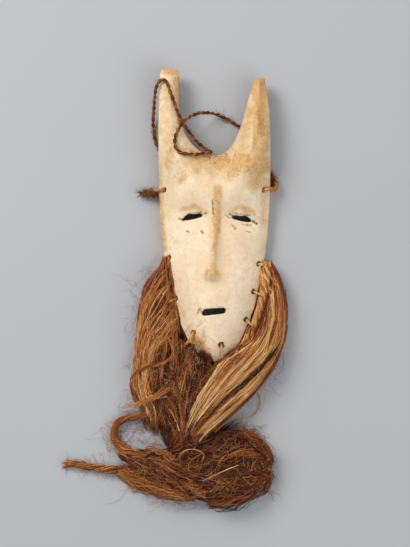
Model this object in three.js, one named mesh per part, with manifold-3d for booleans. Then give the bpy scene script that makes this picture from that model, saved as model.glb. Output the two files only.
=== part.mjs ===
// A carved wooden mask with two tall horns, lying face up on its back.
// A fibre beard is bound to the rim of its chin, and a twisted cord to hang it by is tied at its temples.
// Millimetres, +Z up. X runs across the face and +Y from the chin to the horns.
import * as THREE from "three";
import { mergeVertices } from "three/addons/utils/BufferGeometryUtils.js";
import Module from "manifold-3d";

const wasm = await Module();
wasm.setup();

// Driving dimensions
const MASK_HEIGHT = 251.5; // from the chin to the tip of the longer horn
const MASK_WIDTH = 96.5; // across the temples
const CROWN_HEIGHT = 38; // of the forehead above the plane that the mask lies on
const RIM_EDGE = 10; // height of the upright edge round the face
const RIM_WIDTH = 8; // of the flat back that the mask lies on
const WALL = 8; // between the hollow and the face
const HORN_DEPTH = 19; // of a horn, from back to front
const HORN_LIFT = 7.5; // of the horns' backs above the plane that the mask lies on
const NOSE_RISE = 5.5; // of the nose's tip above the cheeks
const NOSE_WIDTH = 7.5;
const SOCKET_DEPTH = 4.5; // of the hollow round each eye
const EYE_LENGTH = 19;
const EYE_OPENING = 6.2;
const MOUTH_LENGTH = 21.5;
const MOUTH_OPENING = 6.4;
const TIE_HOLE = 4.6; // diameter of each hole for a tie
const TIE_THICKNESS = 2;
const KNOT = 4.2; // diameter of the knot at a tie's inner end
const ROLL_THICKNESS = 6.6; // of the bound edge of the beard
const BEARD_THICKNESS = 26; // where the hair lies deepest
const CORD_THICKNESS = 3.6;
const GAP = 0.4; // between pieces that touch

const halfWidth = MASK_WIDTH / 2;
const across = (share) => share * halfWidth;
const along = (share) => share * MASK_HEIGHT;

// The face's free form, as shares of half its width and of its height.
const TEMPLE = 0.676; // where the face is widest
const SIDE_POWER = 2.2; // how full the cheeks are
const NOTCH_X = 0.034;
const NOTCH_FLOOR = 0.707;
const LEFT_HORN = {
  bulge: -1.01, tipOuter: -0.972, tipInner: -0.635, inner: -0.645, innerTop: 0.872, top: 1,
};
const RIGHT_HORN = { bulge: 1, tipOuter: 0.9, tipInner: 0.7, inner: 0.572, innerTop: 0.88, top: 0.972 };
const BULGE_SHARE = 0.86; // where a horn's outer side bulges most
const TIP_ROUND = 0.013;
const NOTCH_LEFT = [[-0.29, 0.707], [-0.58, 0.755]];
const NOTCH_RIGHT = [[0.27, 0.707], [0.435, 0.765]];
const SIDE_STEPS = 16;

// Height of the front over the back plane down the middle, as [share of height, share of crown].
const CROWN = [
  [-0.1, 0.46], [0, 0.6], [0.08, 0.72], [0.17, 0.78], [0.3, 0.79], [0.42, 0.77], [0.51, 0.8],
  [0.58, 0.94], [0.65, 1], [0.72, 0.9], [0.8, 0.78], [1, 0.68], [1.1, 0.66],
];
const BROW = 0.6; // the horns and the rim above the brow are shaped apart from the face
const HORN_START = 0.76;
const LIFT_START = 0.585;
const LIFT_END = 0.645;

// Feature places, as [share of half width, share of height].
const NOSE_TOP = [0.03, 0.598];
const NOSE_TIP = [-0.045, 0.287];
const LEFT_EYE = { at: [-0.4, 0.496], tilt: 0.02 };
const RIGHT_EYE = { at: [0.485, 0.49], tilt: 0 };
const MOUTH = { at: [-0.03, 0.173], tilt: 0.01 };
const SOCKET_REACH = [0.36, 0.052];
// Each hole: its place, and the share of the height that it slants towards inside.
const RIM_HOLES = [
  [-0.82, 0.36, 0.36], [-0.7, 0.218, 0.268], [-0.38, 0.1, 0.19], [0.115, 0.0585, 0.165], [0.565, 0.145, 0.22],
  [0.7, 0.242, 0.283], [0.79, 0.336, 0.344],
];
const TEMPLE_HOLES = [[-0.9, 0.59, 0.6], [0.885, 0.59, 0.57]];

// Solids from three.js geometry, and back.
function solid(geometry) {
  const bare = geometry.index ? geometry.toNonIndexed() : geometry.clone();
  bare.deleteAttribute("normal");
  bare.deleteAttribute("uv");
  const merged = mergeVertices(bare, 1e-4);
  return new wasm.Manifold(
    new wasm.Mesh({
      numProp: 3,
      vertProperties: new Float32Array(merged.attributes.position.array),
      triVerts: new Uint32Array(merged.index.array),
    }),
  );
}

function geometryOf(manifold) {
  const mesh = manifold.getMesh();
  const positions = new Float32Array(mesh.numVert * 3);
  for (let i = 0; i < mesh.numVert; i++) {
    positions.set(mesh.vertProperties.subarray(i * mesh.numProp, i * mesh.numProp + 3), i * 3);
  }
  const geometry = new THREE.BufferGeometry();
  geometry.setAttribute("position", new THREE.BufferAttribute(positions, 3));
  geometry.setIndex(new THREE.BufferAttribute(new Uint32Array(mesh.triVerts), 1));
  geometry.computeVertexNormals();
  return geometry;
}

// Smooth helpers
const clamp = (value, low, high) => Math.min(Math.max(value, low), high);
const mix = (a, b, t) => a + (b - a) * t;
function smooth(low, high, value) {
  const t = clamp((value - low) / (high - low), 0, 1);
  return t * t * (3 - 2 * t);
}

// A smooth curve through [place, value] stations.
function profile(stations) {
  return (place) => {
    let i = stations.findIndex(([p]) => p > place) - 1;
    i = clamp(i < 0 ? stations.length - 2 : i, 0, stations.length - 2);
    const value = (k) => stations[clamp(k, 0, stations.length - 1)][1];
    const t = clamp((place - stations[i][0]) / (stations[i + 1][0] - stations[i][0]), 0, 1);
    const [a, b, c, d] = [value(i - 1), value(i), value(i + 1), value(i + 2)];
    const bend = 2 * a - 5 * b + 4 * c - d;
    return 0.5 * (2 * b + (c - a) * t + bend * t * t + (3 * b - a - 3 * c + d) * t ** 3);
  };
}

// Half the face's width at a share of its height, up to the temples.
function sideWidth(share) {
  const rest = 1 - clamp(share / TEMPLE, 0, 1);
  return halfWidth * Math.sqrt(1 - rest ** SIDE_POWER);
}

// The outline seen from the front, anticlockwise from the chin.
function outlineShape() {
  const point = ([x, y]) => [across(x), along(y)];
  const shape = new THREE.Shape();
  const sideShare = (k) => TEMPLE * (k / SIDE_STEPS) ** 2;
  shape.moveTo(0, 0);
  for (let k = 1; k <= SIDE_STEPS; k++) {
    shape.lineTo(sideWidth(sideShare(k)), along(sideShare(k)));
  }
  hornOutline(shape, RIGHT_HORN, 1);
  shape.bezierCurveTo(...point(NOTCH_RIGHT[1]), ...point(NOTCH_RIGHT[0]), ...point([NOTCH_X, NOTCH_FLOOR]));
  shape.bezierCurveTo(
    ...point(NOTCH_LEFT[0]), ...point(NOTCH_LEFT[1]), ...point([LEFT_HORN.inner, LEFT_HORN.innerTop]),
  );
  hornOutline(shape, LEFT_HORN, -1);
  for (let k = SIDE_STEPS - 1; k >= 0; k--) {
    shape.lineTo(-sideWidth(sideShare(k)), along(sideShare(k)));
  }
  return shape;
}

// A horn's sides and blunt tip: outwards to inwards on the right, inwards to outwards on the left.
function hornOutline(shape, horn, side) {
  const round = along(TIP_ROUND);
  const top = along(horn.top);
  const outer = [across(horn.tipOuter), top - round];
  const inner = [across(horn.tipInner), top - round];
  const bulge = [across(horn.bulge), along(BULGE_SHARE)];
  const [first, last] = side > 0 ? [outer, inner] : [inner, outer];
  if (side > 0) {
    shape.quadraticCurveTo(...bulge, ...first);
  } else {
    shape.lineTo(...first);
  }
  shape.quadraticCurveTo(first[0], top, first[0] - round, top);
  shape.lineTo(last[0] + round, top);
  shape.quadraticCurveTo(last[0], top, ...last);
  if (side > 0) {
    shape.lineTo(across(horn.inner), along(horn.innerTop));
  } else {
    shape.quadraticCurveTo(...bulge, -halfWidth, along(TEMPLE));
  }
}

const outline = outlineShape().getPoints(6).slice(0, -1);

// The outline moved outwards by a distance, or inwards where that is negative.
function movedOutline(distance) {
  return outline.map((p, i) => {
    const before = outline[(i + outline.length - 1) % outline.length];
    const after = outline[(i + 1) % outline.length];
    const direction = after.clone().sub(before).normalize();
    return new THREE.Vector2(p.x + direction.y * distance, p.y - direction.x * distance);
  });
}

// How far a point lies inside the outline, and 0 outside it.
function depthInside(x, y) {
  let nearest = Infinity;
  let inside = false;
  outline.forEach((a, i) => {
    const b = outline[(i + 1) % outline.length];
    const ex = b.x - a.x;
    const ey = b.y - a.y;
    const t = clamp(((x - a.x) * ex + (y - a.y) * ey) / (ex * ex + ey * ey || 1), 0, 1);
    nearest = Math.min(nearest, Math.hypot(x - a.x - t * ex, y - a.y - t * ey));
    if (a.y > y !== b.y > y && x < a.x + ((y - a.y) * ex) / ey) {
      inside = !inside;
    }
  });
  return inside ? nearest : 0;
}

// How far the surface has risen from its edge to its full height, at a depth inside the outline.
function rounding(depth, share) {
  const horn = smooth(BROW, HORN_START, share);
  const reach = mix(0.86 * halfWidth, 0.2 * halfWidth, horn);
  return (1 - (1 - clamp(depth / reach, 0, 1)) ** 2.2) ** mix(0.8, 0.6, horn);
}

const crown = profile(CROWN);
const hornShare = (share) => smooth(BROW, HORN_START, share);
const lift = (share) => HORN_LIFT * smooth(LIFT_START, LIFT_END, share);

// The nose's narrow ridge, which widens to its tip.
function noseRise(x, y) {
  const down = (along(NOSE_TOP[1]) - y) / (along(NOSE_TOP[1]) - along(NOSE_TIP[1]));
  const middle = across(mix(NOSE_TOP[0], NOSE_TIP[0], clamp(down, 0, 1)));
  const half = (NOSE_WIDTH / 2) * (0.9 + 0.15 * down + 0.55 * smooth(0.82, 1, down));
  const section = 1 - smooth(0.45 * half, 1.5 * half, Math.abs(x - middle));
  const height = smooth(0, 0.5, down) * mix(0.75, 1, clamp(down, 0, 1)) * (1 - smooth(1, 1.045, down));
  return NOSE_RISE * section * height;
}

// The hollow round an eye.
function socket(x, y, eye) {
  const u = (x - across(eye.at[0])) / across(SOCKET_REACH[0]);
  const v = (y - along(eye.at[1])) / along(SOCKET_REACH[1]);
  return SOCKET_DEPTH * Math.exp(-(u * u + v * v));
}

// Heights of the front and the back of the wood at a point.
function front(x, y) {
  const share = y / MASK_HEIGHT;
  const horn = hornShare(share);
  const edge = mix(RIM_EDGE, HORN_LIFT + 0.62 * HORN_DEPTH, horn);
  const face = CROWN_HEIGHT * crown(share);
  const top = mix(face, Math.max(HORN_LIFT + HORN_DEPTH, face), horn);
  const risen = edge + (top - edge) * rounding(depthInside(x, y), share);
  return risen + noseRise(x, y) - socket(x, y, LEFT_EYE) - socket(x, y, RIGHT_EYE);
}

function back(x, y) {
  const share = y / MASK_HEIGHT;
  const curled = 0.3 * HORN_DEPTH * smooth(LIFT_END, HORN_START + 0.05, share);
  return lift(share) + curled * (1 - rounding(depthInside(x, y), 1));
}

// A slab over the whole mask whose top and bottom follow two height functions. Its columns are closest
// along the middle, where the nose is.
const COLUMN_CROWDING = 1.3;
const FRONT_GRID = [20, 46]; // columns and rows
const BACK_GRID = [14, 26];
function slab(top, bottom, columns, rows) {
  const [low, high] = [-0.02, 1.02].map(along);
  const geometry = new THREE.BoxGeometry(2.08 * halfWidth, high - low, 1, columns, rows, 1);
  const place = geometry.attributes.position;
  for (let i = 0; i < place.count; i++) {
    const aside = place.getX(i) / halfWidth;
    const x = halfWidth * Math.sign(aside) * Math.abs(aside) ** COLUMN_CROWDING;
    const y = place.getY(i) + (low + high) / 2;
    place.setXYZ(i, x, y, place.getZ(i) > 0 ? top(x, y) : bottom(x, y));
  }
  return solid(geometry);
}

const TALL = 2 * CROWN_HEIGHT;
function prism(points, low, high) {
  const options = { depth: high - low, bevelEnabled: false };
  const geometry = new THREE.ExtrudeGeometry(new THREE.Shape(points), options);
  return solid(geometry.translate(0, 0, low));
}

// The wood before it is hollowed and pierced.
function woodBlank() {
  const fronted = slab(front, () => -TALL, ...FRONT_GRID);
  const backed = slab(() => TALL, back, ...BACK_GRID);
  return fronted.intersect(backed).intersect(prism(outline, -TALL, TALL));
}

// The hollow of the back, which ends below the brow's rim.
const HOLLOW_TOP = 0.655;
function hollow() {
  const roof = (x, y) => {
    const depth = depthInside(x, y) - RIM_WIDTH;
    const toTop = along(HOLLOW_TOP) - y;
    const risen = clamp(Math.min(depth, toTop) / (1.6 * RIM_WIDTH), 0, 1);
    const flat = front(x, y) - noseRise(x, y) - WALL;
    return mix(0, Math.max(flat, 1), Math.sqrt(1 - (1 - risen) ** 2));
  };
  const inner = movedOutline(-RIM_WIDTH).filter((p) => p.y < along(TEMPLE) + 1);
  inner.forEach((p) => p.setY(Math.min(p.y, along(HOLLOW_TOP))));
  const space = slab((x, y) => Math.max(roof(x, y), 0.5), () => -TALL, ...BACK_GRID);
  return space.intersect(prism(inner, -TALL, TALL));
}

function slit(shape, { at, tilt }) {
  const geometry = new THREE.ExtrudeGeometry(shape, { depth: 2 * TALL, bevelEnabled: false });
  return solid(geometry.rotateZ(tilt).translate(across(at[0]), along(at[1]), -TALL));
}

// The left eye's slit and the mouth's, as shares of their lengths and openings.
// The right eye mirrors the left.
const EYE_CORNERS = [
  [-0.5, -0.45], [-0.35, 0.12], [-0.16, 0.5], [0.05, 0.38], [0.33, 0.5], [0.5, 0.3], [0.44, 0], [0.03, -0.3],
  [-0.22, -0.42],
];
const MOUTH_CORNERS = [[-0.5, -0.55], [0.5, -0.2], [0.5, 0.55], [-0.37, 0.38]];

const slitShape = (corners, length, opening) =>
  new THREE.Shape(corners.map(([u, v]) => new THREE.Vector2(u * length, v * opening)));

// Each hole for a tie slants from the front of the rim into the hollow.
function holeLine([sx, sy, aim]) {
  const mouth = new THREE.Vector3(across(sx), along(sy), front(across(sx), along(sy)));
  const centre = new THREE.Vector3(0.25 * mouth.x, along(aim), 0);
  const inwards = centre.sub(mouth).setZ(0).normalize();
  const direction = inwards.multiplyScalar(0.72).setZ(-0.7).normalize();
  return { mouth, direction };
}

function hole(place) {
  const { mouth, direction } = holeLine(place);
  const length = 3.2 * WALL;
  const geometry = new THREE.CylinderGeometry(TIE_HOLE / 2, TIE_HOLE / 2, length, 10);
  const turn = new THREE.Quaternion().setFromUnitVectors(new THREE.Vector3(0, 1, 0), direction);
  const middle = mouth.clone().addScaledVector(direction, 0.3 * length);
  return solid(geometry.applyQuaternion(turn).translate(middle.x, middle.y, middle.z));
}

function maskSolid() {
  const cutters = [
    hollow(),
    slit(slitShape(EYE_CORNERS, EYE_LENGTH, EYE_OPENING), LEFT_EYE),
    slit(slitShape(EYE_CORNERS, -EYE_LENGTH, EYE_OPENING), RIGHT_EYE),
    slit(slitShape(MOUTH_CORNERS, MOUTH_LENGTH, MOUTH_OPENING), MOUTH),
    ...[...RIM_HOLES, ...TEMPLE_HOLES].map(hole),
  ];
  return cutters.reduce((wood, cutter) => wood.subtract(cutter), woodBlank());
}

// A round tube through points, closed at both ends.
function tube(points, thickness, steps, sides) {
  const section = new THREE.Shape();
  for (let k = 0; k < sides; k++) {
    const turn = (2 * Math.PI * k) / sides;
    section[k ? "lineTo" : "moveTo"]((thickness / 2) * Math.cos(turn), (thickness / 2) * Math.sin(turn));
  }
  const path = new THREE.CatmullRomCurve3(points.map((p) => new THREE.Vector3(...p)), false, "centripetal");
  return new THREE.ExtrudeGeometry(section, { steps, extrudePath: path, bevelEnabled: false });
}

// A tie from its knot in the hollow, out through its hole and over a crest beside the rim's edge.
function tiePath(place, { crestOut, crestTop, reach, drop }) {
  const { mouth, direction } = holeLine(place);
  const outwards = direction.clone().setZ(0).normalize().negate();
  const toEdge = depthInside(mouth.x, mouth.y);
  const beyond = (out, z) => mouth.clone().addScaledVector(outwards, toEdge + out).setZ(z);
  const inside = (distance) => mouth.clone().addScaledVector(direction, distance);
  const path = [inside(1.9 * WALL), inside(WALL), inside(0), inside(-1.1 * TIE_THICKNESS)];
  path.push(beyond(crestOut, crestTop), beyond(reach, mix(crestTop, drop, 0.45)), beyond(reach, drop));
  return path.map((p) => p.toArray());
}

function tie(place, route, grow = 0) {
  const path = tiePath(place, route);
  const knot = new THREE.IcosahedronGeometry(KNOT / 2, 0).translate(...path[0]);
  return solid(tube(path, TIE_THICKNESS + 2 * grow, 11, 5)).add(solid(knot));
}

// A lock of hair along [x share, y share, half width share, height share] stations, lying on the ground.
// Its section is lobed, and turns slowly along it as twisted strands do.
const LOCK_SIDES = 12;
const LOBE_DEPTH = 0.16;
const LOCK_TWIST = 1.2; // radians along the whole lock
function lock(stations, steps, grow = 0) {
  const places = stations.map(([x, y]) => new THREE.Vector3(across(x), along(y), 0));
  const line = new THREE.CatmullRomCurve3(places);
  const halves = profile(stations.map((s, i) => [i / (stations.length - 1), s[2]]));
  const heights = profile(stations.map((s, i) => [i / (stations.length - 1), s[3]]));
  const positions = [];
  const indices = [];
  for (let i = 0; i <= steps; i++) {
    const t = i / steps;
    const middle = line.getPoint(t);
    const aside = line.getTangent(t).cross(new THREE.Vector3(0, 0, 1)).normalize();
    const height = BEARD_THICKNESS * heights(t);
    for (let k = 0; k < LOCK_SIDES; k++) {
      const turn = (2 * Math.PI * k) / LOCK_SIDES + LOCK_TWIST * t;
      const lobe = k % 2 ? 1 : 1 - LOBE_DEPTH;
      const p = middle.clone().addScaledVector(aside, (lobe * across(halves(t)) + grow) * Math.cos(turn));
      positions.push(p.x, p.y, GAP + height / 2 + ((lobe * height) / 2 + grow) * Math.sin(turn));
      const next = (k + 1) % LOCK_SIDES;
      if (i < steps) {
        const [a, b] = [i * LOCK_SIDES + k, i * LOCK_SIDES + next];
        indices.push(a, a + LOCK_SIDES, b, b, a + LOCK_SIDES, b + LOCK_SIDES);
      }
    }
  }
  for (let k = 1; k < LOCK_SIDES - 1; k++) {
    const end = steps * LOCK_SIDES;
    indices.push(0, k, k + 1, end, end + k + 1, end + k);
  }
  const geometry = new THREE.BufferGeometry();
  geometry.setAttribute("position", new THREE.Float32BufferAttribute(positions, 3));
  geometry.setIndex(indices);
  return solid(geometry);
}

// Locks, as [x share, y share, half width share, height share] from the rim to their ends.
const LEFT_LOCK = [
  [-0.9, 0.352, 0.05, 0.6], [-0.95, 0.298, 0.17, 0.8], [-1, 0.211, 0.28, 0.85], [-1.01, 0.124, 0.37, 0.85],
  [-1.02, 0.038, 0.41, 0.85], [-1.03, -0.049, 0.38, 0.77], [-1.04, -0.135, 0.3, 0.65],
  [-1.01, -0.2, 0.2, 0.5], [-0.98, -0.222, 0.08, 0.3],
];
const RIGHT_LOCK = [
  [1, 0.332, 0.03, 0.5], [1.075, 0.3, 0.07, 0.65], [1.1, 0.2425, 0.15, 0.8], [1.065, 0.178, 0.2, 0.85],
  [0.98, 0.1, 0.27, 0.92], [0.8, 0.025, 0.37, 1], [0.51, -0.031, 0.46, 1], [0.13, -0.107, 0.46, 1],
  [-0.23, -0.187, 0.4, 0.92], [-0.52, -0.266, 0.34, 0.85], [-0.72, -0.315, 0.22, 0.6],
];
const CHIN_LOCK = [
  [-0.36, 0.07, 0.3, 0.38], [-0.45, -0.031, 0.42, 0.58], [-0.54, -0.118, 0.42, 0.58],
  [-0.63, -0.204, 0.36, 0.54], [-0.66, -0.29, 0.3, 0.5],
];
const TANGLE = [
  [-1.6, -0.39, 0.15, 0.4], [-1.2, -0.385, 0.36, 0.7], [-0.65, -0.38, 0.5, 0.85], [-0.09, -0.37, 0.62, 0.92],
  [0.4, -0.36, 0.7, 1], [0.75, -0.357, 0.56, 0.9], [0.98, -0.36, 0.32, 0.6], [1.07, -0.362, 0.12, 0.35],
];
const TAIL = [
  [-1.5, -0.385, 0.1, 0.31], [-1.8, -0.378, 0.09, 0.27], [-2.15, -0.37, 0.08, 0.23],
  [-2.5, -0.36, 0.07, 0.19], [-2.7, -0.358, 0.045, 0.15],
];
const SIDE_LOOP = [
  [-1.2, -0.176, 0.07, 0.31], [-1.5, -0.192, 0.08, 0.31], [-1.74, -0.21, 0.08, 0.31],
  [-1.83, -0.252, 0.08, 0.31], [-1.74, -0.298, 0.09, 0.33], [-1.5, -0.325, 0.12, 0.38],
  [-1.35, -0.345, 0.12, 0.4],
];

// The bound edge of the beard, beside the right of the rim.
const ROLL_FROM = 0.332;
const ROLL_TO = 0.085;
const ROLL_LIFT = 2.3; // of the roll's middle above the top of the upright edge
function rollPath() {
  const places = [];
  for (let t = 0; t <= 1.001; t += 0.125) {
    const share = mix(ROLL_FROM, ROLL_TO, t);
    places.push([sideWidth(share) + ROLL_THICKNESS / 2 + GAP, along(share), RIM_EDGE + ROLL_LIFT]);
  }
  return places;
}

// The cord, from the left temple's knot, out behind the left horn, over its tip, across the forehead and
// behind the right horn to the right temple's knot, as [x share, y share, height share]. The height share is
// 0 on the ground and 1 at the top of the horns. A point without one lies on the wood.
const CORD_POINTS = [
  [-0.736, 0.61, 0.03], [-0.78, 0.641, 0], [-0.9, 0.695, 0], [-1.055, 0.752, 0], [-1.105, 0.799, 0.03],
  [-1.1, 0.838, 0.17], [-1.084, 0.876, 0.4], [-1.062, 0.91, 0.66], [-1.035, 0.938, 0.86],
  [-0.96, 0.9605, 0.94], [-0.87, 0.957], [-0.815, 0.935], [-0.74, 0.895], [-0.671, 0.86],
  [-0.605, 0.831, 0.92], [-0.51, 0.801, 0.78], [-0.36, 0.764, 0.55], [-0.187, 0.734, 0.38],
  [-0.104, 0.7235, 0.45],
  [-0.072, 0.719, 0.66], [-0.112, 0.7155, 0.88], [-0.22, 0.711], [-0.42, 0.7065], [-0.622, 0.714],
  [-0.696, 0.734], [-0.705, 0.759], [-0.664, 0.783], [-0.601, 0.806, 1.08], [-0.51, 0.826, 1],
  [-0.386, 0.843, 0.86], [-0.218, 0.854, 0.56], [-0.052, 0.855, 0.26], [0.114, 0.846, 0.06],
  [0.29, 0.829, 0], [0.497, 0.801, 0], [0.684, 0.765, 0], [0.82, 0.722, 0], [0.858, 0.678, 0],
  [0.82, 0.642, 0], [0.755, 0.615, 0.03],
];
const CORD_CLEAR = 0.9; // under the cord where it lies on the wood, so that the sides of its tube stay clear

function cordPlace([sx, sy, raised]) {
  const [x, y] = [across(sx), along(sy)];
  const reach = CORD_THICKNESS / 2;
  if (raised !== undefined) {
    return [x, y, reach + mix(GAP, HORN_LIFT + HORN_DEPTH, raised)];
  }
  const turns = [0, 1, 2, 3, 4, 5, 6, 7].map((k) => (k * Math.PI) / 4);
  const beside = (turn) => front(x + reach * Math.cos(turn), y + reach * Math.sin(turn));
  const around = turns.map((turn) => beside(turn) - 0.7 * reach);
  return [x, y, Math.max(front(x, y), ...around) + reach + CORD_CLEAR];
}

// The piece that is left when others, each grown by the gap, are cut from a solid.
function fitted(whole, others) {
  const pieces = others.reduce((kept, other) => kept.subtract(other), whole).decompose();
  return pieces.sort((a, b) => b.volume() - a.volume())[0];
}

const colour = (name) => new THREE.Color(name);
function finish(name, roughness) {
  return new THREE.MeshStandardMaterial({ color: colour(name), roughness, metalness: 0 });
}

const part = new THREE.Group();
function add(name, manifold, tint, roughness) {
  const mesh = new THREE.Mesh(geometryOf(manifold), finish(tint, roughness));
  mesh.name = name;
  part.add(mesh);
}

const WOOD = "#dcc7a3";
const HAIR = "#8a5a34";
const RAFFIA = "#c9a26c";
const TWINE = "#7a4a30";

add("mask", maskSolid(), WOOD, 0.85);
add("hanging_cord", solid(tube(CORD_POINTS.map(cordPlace), CORD_THICKNESS, 80, 7)), TWINE, 0.8);

const wall = prism(movedOutline(GAP), -TALL, TALL);

// Ties through the rim. Those on the right pass over the bound roll, the others over the bare edge.
const EDGE_ROUTE = { crestOut: 2.2, crestTop: RIM_EDGE + 3, reach: 3.6, drop: 6 };
const ROLL_TOP = RIM_EDGE + ROLL_LIFT + ROLL_THICKNESS / 2;
const ROLL_ROUTE = {
  crestOut: 2 * GAP + ROLL_THICKNESS / 2,
  crestTop: ROLL_TOP + GAP + 0.7 * TIE_THICKNESS,
  reach: 3 * GAP + ROLL_THICKNESS + 0.6 * TIE_THICKNESS,
  drop: 5,
};
const RIM_TIES = [
  ["left_tie_upper", EDGE_ROUTE], ["left_tie_middle", EDGE_ROUTE], ["left_tie_lower", EDGE_ROUTE],
  ["chin_tie", EDGE_ROUTE], ["right_tie_lower", ROLL_ROUTE], ["right_tie_middle", ROLL_ROUTE],
  ["right_tie_upper", ROLL_ROUTE],
];
const roll = (grow) => solid(tube(rollPath(), ROLL_THICKNESS + 2 * grow, 12, 8));
const rimTies = RIM_TIES.map(([, route], i) => tie(RIM_HOLES[i], route));
const tieClearances = RIM_TIES.map(([, route], i) => tie(RIM_HOLES[i], route, GAP));
RIM_TIES.forEach(([name], i) => add(name, rimTies[i], RAFFIA, 0.75));

const locks = [
  ["right_beard_lock", RIGHT_LOCK, 16, RAFFIA],
  ["chin_beard_lock", CHIN_LOCK, 7, HAIR],
  ["left_beard_lock", LEFT_LOCK, 12, HAIR],
  ["beard_tangle", TANGLE, 10, HAIR],
  ["side_loop", SIDE_LOOP, 10, HAIR],
  ["tail_wisp", TAIL, 6, RAFFIA],
];
const taken = [wall, roll(GAP), ...tieClearances];
add("rim_roll", fitted(roll(0), [wall, ...tieClearances]), RAFFIA, 0.75);
locks.forEach(([name, stations, steps, tint]) => {
  add(name, fitted(lock(stations, steps), taken), tint, 0.7);
  taken.push(lock(stations, steps, GAP));
});

// The knots at the temples: a loop through each hole, with the frayed ends beside the edge.
const LEFT_TUFT = [
  [-1.04, 0.581, 0.05, 0.2], [-1.13, 0.58, 0.1, 0.34], [-1.26, 0.582, 0.125, 0.35], [-1.42, 0.578, 0.04, 0.2],
];
const RIGHT_KNOT = [
  [1.05, 0.586, 0.06, 0.28], [1.08, 0.602, 0.09, 0.38], [1.08, 0.625, 0.08, 0.36], [1.05, 0.642, 0.04, 0.2],
];
const TEMPLE_ROUTE = { ...EDGE_ROUTE, drop: 3.5 };
const templeTie = (place, tuft) => tie(place, TEMPLE_ROUTE).add(fitted(lock(tuft, 7), [wall]));
add("left_temple_tie", templeTie(TEMPLE_HOLES[0], LEFT_TUFT), TWINE, 0.8);
add("right_temple_tie", templeTie(TEMPLE_HOLES[1], RIGHT_KNOT), RAFFIA, 0.75);

// The origin is on the ground, under the middle of everything but the cord.
const bounds = new THREE.Box3();
part.children.filter((mesh) => mesh.name !== "hanging_cord").forEach((mesh) => bounds.expandByObject(mesh));
const middle = bounds.getCenter(new THREE.Vector3());
part.children.forEach((mesh) => mesh.geometry.translate(-middle.x, -middle.y, -bounds.min.z));

export default part;
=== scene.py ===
"""A whitened wooden mask with horns, a fibre beard and a hanging cord, lying face up on a pale floor."""
import math

import bpy
import numpy as np
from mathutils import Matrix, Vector, noise
from mathutils.bvhtree import BVHTree


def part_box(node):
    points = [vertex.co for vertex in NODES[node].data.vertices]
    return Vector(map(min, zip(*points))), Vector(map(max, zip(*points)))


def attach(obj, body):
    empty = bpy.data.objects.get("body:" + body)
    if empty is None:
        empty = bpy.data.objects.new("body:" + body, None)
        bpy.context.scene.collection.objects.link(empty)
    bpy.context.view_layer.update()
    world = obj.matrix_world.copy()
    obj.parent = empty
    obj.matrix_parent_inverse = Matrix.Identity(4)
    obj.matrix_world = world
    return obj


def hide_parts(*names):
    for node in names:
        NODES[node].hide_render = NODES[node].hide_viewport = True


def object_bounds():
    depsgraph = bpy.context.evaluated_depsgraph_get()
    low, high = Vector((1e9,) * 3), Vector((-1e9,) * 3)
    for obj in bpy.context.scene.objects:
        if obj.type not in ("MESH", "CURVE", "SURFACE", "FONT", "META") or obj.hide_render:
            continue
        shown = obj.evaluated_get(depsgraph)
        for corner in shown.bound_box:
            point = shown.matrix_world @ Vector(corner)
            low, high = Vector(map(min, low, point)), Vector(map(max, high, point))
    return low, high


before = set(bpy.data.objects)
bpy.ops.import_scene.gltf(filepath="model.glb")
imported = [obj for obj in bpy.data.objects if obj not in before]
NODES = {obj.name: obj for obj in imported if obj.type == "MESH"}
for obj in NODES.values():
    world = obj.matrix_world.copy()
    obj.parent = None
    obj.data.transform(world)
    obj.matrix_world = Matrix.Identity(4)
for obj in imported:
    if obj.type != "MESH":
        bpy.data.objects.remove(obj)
CAD_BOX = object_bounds()
RNG = np.random.default_rng(11)
MM = 0.001
TAU = 2 * math.pi

# The mask's own measures, from the frame: half its width, its height, its middle and its chin
MASK_LOW, MASK_HIGH = (np.array(corner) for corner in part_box("mask"))
HALF = 48.25 * MM
HEIGHT = MASK_HIGH[1] - MASK_LOW[1]
MIDDLE = MASK_HIGH[0] - HALF
CHIN = MASK_LOW[1]

# The photograph: how much of the object a pixel shows, and the pixel of the chin
PIXEL = 0.87 * MM
CHIN_PIXEL = (214.6, 361.3)
FRAME_PIXELS = (410, 547)
CAMERA_HEIGHT = 1.5


def at(sx, sy):
    """The place at shares of the mask's half width and of its height."""
    return MIDDLE + sx * HALF, CHIN + sy * HEIGHT


def photo(px, py):
    """The place that a pixel of the photograph shows."""
    return MIDDLE + (px - CHIN_PIXEL[0]) * PIXEL, CHIN + (CHIN_PIXEL[1] - py) * PIXEL


def placed(name, data):
    """A new object in the scene."""
    made = bpy.data.objects.new(name, data)
    bpy.context.collection.objects.link(made)
    return made


def make_camera():
    """Looks straight down, as the photograph does."""
    data = bpy.data.cameras.new("camera")
    camera = placed("camera", data)
    x, y = photo(FRAME_PIXELS[0] / 2, FRAME_PIXELS[1] / 2)
    camera.location = (x, y, CAMERA_HEIGHT)
    data.sensor_width = 36
    data.lens = data.sensor_width * CAMERA_HEIGHT / (FRAME_PIXELS[1] * PIXEL)
    data.clip_start = 0.05
    bpy.context.scene.camera = camera


make_camera()


# Smooth curves, noise and tubes
def curve(rows, count):
    """A smooth curve through rows of numbers, sampled evenly from row to row."""
    rows = np.array(rows, float)
    knots = np.vstack([2 * rows[:1] - rows[1:2], rows, 2 * rows[-1:] - rows[-2:-1]])
    place = np.linspace(0, len(rows) - 1, count)
    i = np.minimum(place.astype(int), len(rows) - 2)
    t = (place - i)[:, None]
    a, b, c, d = (knots[i + k] for k in range(4))
    bend = 2 * a - 5 * b + 4 * c - d
    rise = 3 * b - a - 3 * c + d
    return 0.5 * (2 * b + (c - a) * t + bend * t**2 + rise * t**3)


def run_of(points):
    """How far along a curve each of its points lies."""
    return np.concatenate([[0], np.cumsum(np.linalg.norm(np.diff(points, axis=0), axis=1))])


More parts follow.
